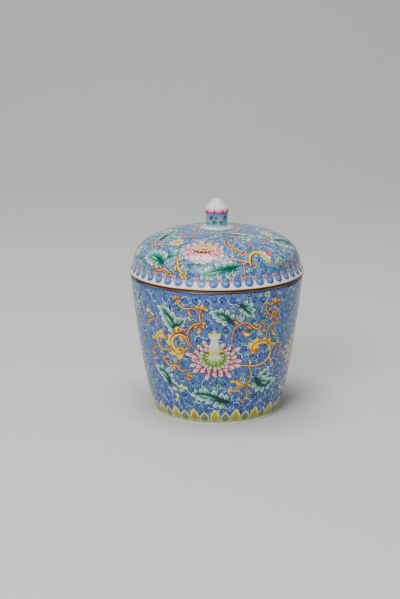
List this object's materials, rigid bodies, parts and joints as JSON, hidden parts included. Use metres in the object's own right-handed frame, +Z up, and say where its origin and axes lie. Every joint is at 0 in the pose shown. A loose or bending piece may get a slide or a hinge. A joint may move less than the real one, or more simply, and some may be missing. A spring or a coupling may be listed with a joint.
{
  "type": "painted enamel covered jar",
  "caption": "Round covered jar that tapers to its foot, with a domed lid that lifts off by a lotus-bud knob, painted all over in enamel on metal.",
  "frame": {"origin": "centre of the foot ring's underside, on the jar's axis", "axes": "+Z up along the axis through the knob, -Y to the front, where the large lotus is painted"},
  "size_m": [0.12, 0.12, 0.1466],
  "materials": {
    "painted_enamel": "glossy opaque enamel, cobalt ground painted with lotus scrolls",
    "knob_enamel": "glossy opaque enamel, white petals with a pink base on a blue stem"
  },
  "bodies": {
    "root": {"jar": "painted_enamel", "lid": "painted_enamel", "lotus_bud_knob": "knob_enamel"}
  },
  "joints": []
}
